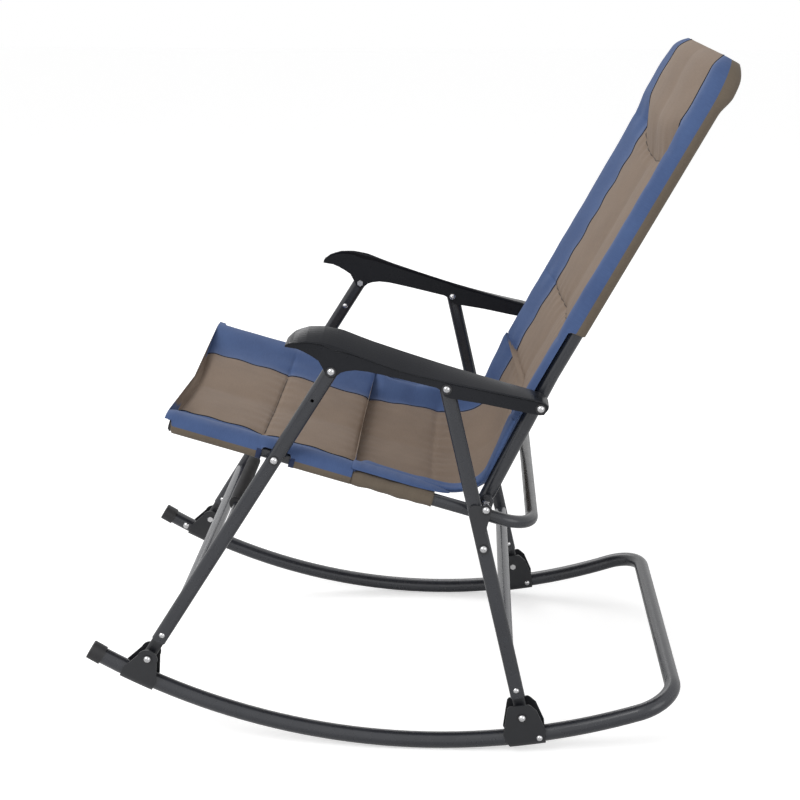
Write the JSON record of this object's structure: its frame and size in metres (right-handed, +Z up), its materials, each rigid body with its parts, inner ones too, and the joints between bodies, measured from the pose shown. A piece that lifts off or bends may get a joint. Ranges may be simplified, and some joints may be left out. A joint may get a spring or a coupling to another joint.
{
  "type": "folding rocking chair",
  "caption": "Folding padded armchair on curved rocking runners, with a high quilted back, moulded arms, scissor legs and a hinged link on each side.",
  "frame": {"origin": "floor under the lowest point of the runners' arc, midway between the runners", "axes": "+Z up, the sitter faces -Y, +X towards the chair's left arm as the sitter has it"},
  "size_m": [0.5948, 0.9498, 1.0379],
  "materials": {
    "steel_tube": "gloss",
    "bent_tube": "gloss",
    "bar_tube": "gloss",
    "bracket_black": "satin",
    "arm_plastic": "satin",
    "cap_rubber": "matte",
    "washer_black": "matte",
    "bolt_chrome": "polished",
    "link_black": "satin",
    "grip_foam": "matte",
    "pad_fabric": "matte"
  },
  "bodies": {
    "rocker_base": {"runner_left": "steel_tube", "runner_right": "steel_tube", "rear_hoop": "bent_tube", "runner_caps": "cap_rubber", "rear_bracket_left": "bracket_black", "rear_bracket_right": "bracket_black", "bracket_screws": "bolt_chrome", "rear_foot_bolts": "bolt_chrome", "rear_foot_washers": "washer_black", "stop_rivets": "bolt_chrome"},
    "front_sliders": {"front_bracket_left": "bracket_black", "front_bracket_right": "bracket_black", "front_foot_bolts": "bolt_chrome", "front_foot_washers": "washer_black"},
    "front_legs": {"front_leg_left": "steel_tube", "front_leg_right": "steel_tube", "front_tongues": "bracket_black", "front_tongue_screws": "bolt_chrome", "front_cross_bar": "bar_tube", "carry_bar": "bar_tube", "carry_grip": "grip_foam", "seat_bolts": "bolt_chrome", "seat_bolt_washers": "washer_black", "upper_screws": "bolt_chrome"},
    "rear_legs": {"rear_leg_left": "steel_tube", "rear_leg_right": "steel_tube", "rear_tongues": "bracket_black", "rear_tongue_screws": "bolt_chrome", "rear_cross_bar": "bar_tube", "link_bolts": "bolt_chrome", "link_bolt_washers": "washer_black"},
    "armrests": {"armrest_left": "arm_plastic", "armrest_right": "arm_plastic", "arm_front_bolts": "bolt_chrome", "arm_mid_bolts": "bolt_chrome", "arm_rear_bolts": "bolt_chrome", "arm_washers": "washer_black"},
    "back_frame": {"back_tube": "bent_tube", "back_tube_plugs": "cap_rubber", "hip_bolts": "bolt_chrome", "back_pad": "pad_fabric"},
    "seat_frame": {"seat_tube": "bent_tube", "seat_tube_caps": "cap_rubber", "seat_pad": "pad_fabric", "hip_fold": "pad_fabric"},
    "fold_links": {"fold_link_left": "link_black", "fold_link_right": "link_black", "link_rivets": "bolt_chrome", "link_rivet_washers": "washer_black"}
  },
  "joints": [
    {"name": "front_leg_fold", "type": "hinge", "parent": "front_sliders", "child": "front_legs", "pos_m": [0, -0.42047, 0.14673], "axis": [1, 0, 0], "range_deg": [0, 77.2]},
    {"name": "runner_slide", "type": "hinge", "parent": "rocker_base", "child": "front_sliders", "pos_m": [0, 0, 0.9975], "axis": [1, 0, 0], "range_deg": [0, 25.34]},
    {"name": "arm_fold", "type": "hinge", "parent": "front_legs", "child": "armrests", "pos_m": [0, -0.1341, 0.6056], "axis": [1, 0, 0], "range_deg": [-97.84, 0]},
    {"name": "back_fold", "type": "hinge", "parent": "armrests", "child": "back_frame", "pos_m": [0, 0.1631, 0.5551], "axis": [1, 0, 0], "range_deg": [0, 93.84]},
    {"name": "hip_fold_joint", "type": "hinge", "parent": "back_frame", "child": "seat_frame", "pos_m": [0, 0.0885, 0.3985], "axis": [1, 0, 0], "range_deg": [-89.54, 0], "deforming": ["hip_fold"]},
    {"name": "rear_leg_fold", "type": "hinge", "parent": "rocker_base", "child": "rear_legs", "pos_m": [0, 0.14904, 0.0618], "axis": [1, 0, 0], "range_deg": [0, 60.04]},
    {"name": "link_fold", "type": "hinge", "parent": "rear_legs", "child": "fold_links", "pos_m": [0, 0.08591, 0.33715], "axis": [1, 0, 0], "range_deg": [-139.74, 0]}
  ],
  "couplings": [
    {"joint": "runner_slide", "follows": "front_leg_fold", "ratio": 0.3276},
    {"joint": "arm_fold", "follows": "front_leg_fold", "ratio": -1.2667},
    {"joint": "back_fold", "follows": "front_leg_fold", "ratio": 1.2149},
    {"joint": "hip_fold_joint", "follows": "front_leg_fold", "ratio": -1.1592},
    {"joint": "rear_leg_fold", "follows": "front_leg_fold", "ratio": 0.7771},
    {"joint": "link_fold", "follows": "front_leg_fold", "ratio": -1.8094}
  ]
}
